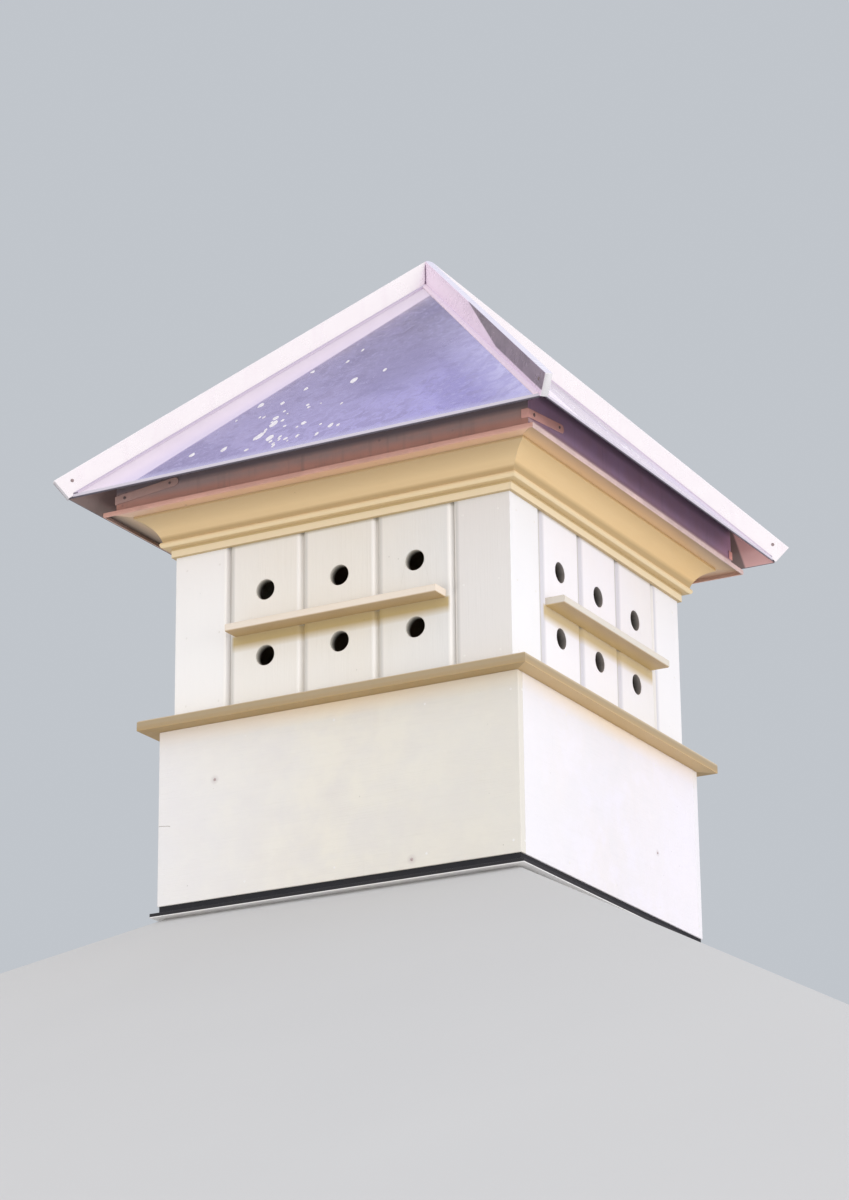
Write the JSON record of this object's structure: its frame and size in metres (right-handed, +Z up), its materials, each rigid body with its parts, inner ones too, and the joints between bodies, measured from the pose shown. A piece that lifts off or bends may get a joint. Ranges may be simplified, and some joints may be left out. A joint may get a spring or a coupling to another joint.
{
  "type": "square nest-box roof cupola",
  "caption": "Square timber roof cupola: plain curb, ledge, nest-box walls with round entrance holes and perches, flared crown moulding and a hipped copper roof with raised hip caps",
  "frame": {"origin": "centre of the square footprint, at the height of the foot", "axes": "+Z up, front faces -Y, right side faces +X"},
  "size_m": [1.0726, 1.0726, 1.3938],
  "materials": {
    "cream_paint": "satin cream-white exterior paint on boards",
    "yellow_paint": "satin warm yellow exterior paint on mouldings",
    "perch_paint": "satin pale yellow paint",
    "pale_flashing": "white coated sheet",
    "dark_strip": "matt black sealing strip",
    "bare_wood": "unpainted plywood",
    "dark_copper": "tarnished copper sheet, red-brown to violet",
    "violet_copper": "heat-tinted violet copper sheet",
    "pale_copper": "bright pale pink copper sheet"
  },
  "bodies": {
    "root": {"foot_flashing": "pale_flashing", "nest_floor": "bare_wood", "nest_shelf": "bare_wood", "ceiling_board": "bare_wood", "foot_strip_front": "dark_strip", "foot_strip_right": "dark_strip", "foot_strip_back": "dark_strip", "foot_strip_left": "dark_strip", "base_panel_front": "cream_paint", "base_panel_right": "cream_paint", "base_panel_back": "cream_paint", "base_panel_left": "cream_paint", "ledge_front": "yellow_paint", "ledge_right": "yellow_paint", "ledge_back": "yellow_paint", "ledge_left": "yellow_paint", "nest_wall_front": "cream_paint", "nest_wall_right": "cream_paint", "nest_wall_back": "cream_paint", "nest_wall_left": "cream_paint", "perch_front": "perch_paint", "perch_right": "perch_paint", "perch_back": "perch_paint", "perch_left": "perch_paint", "crown_front": "yellow_paint", "crown_right": "yellow_paint", "crown_back": "yellow_paint", "crown_left": "yellow_paint", "skirt_front": "dark_copper", "skirt_right": "dark_copper", "skirt_back": "dark_copper", "skirt_left": "dark_copper", "roof_panel_front": "violet_copper", "roof_panel_right": "violet_copper", "roof_panel_back": "violet_copper", "roof_panel_left": "violet_copper", "corner_board_front_right": "cream_paint", "corner_board_back_right": "cream_paint", "corner_board_back_left": "cream_paint", "corner_board_front_left": "cream_paint", "hip_cap_front_right": "pale_copper", "hip_cap_back_right": "pale_copper", "hip_cap_back_left": "pale_copper", "hip_cap_front_left": "pale_copper"}
  },
  "joints": []
}
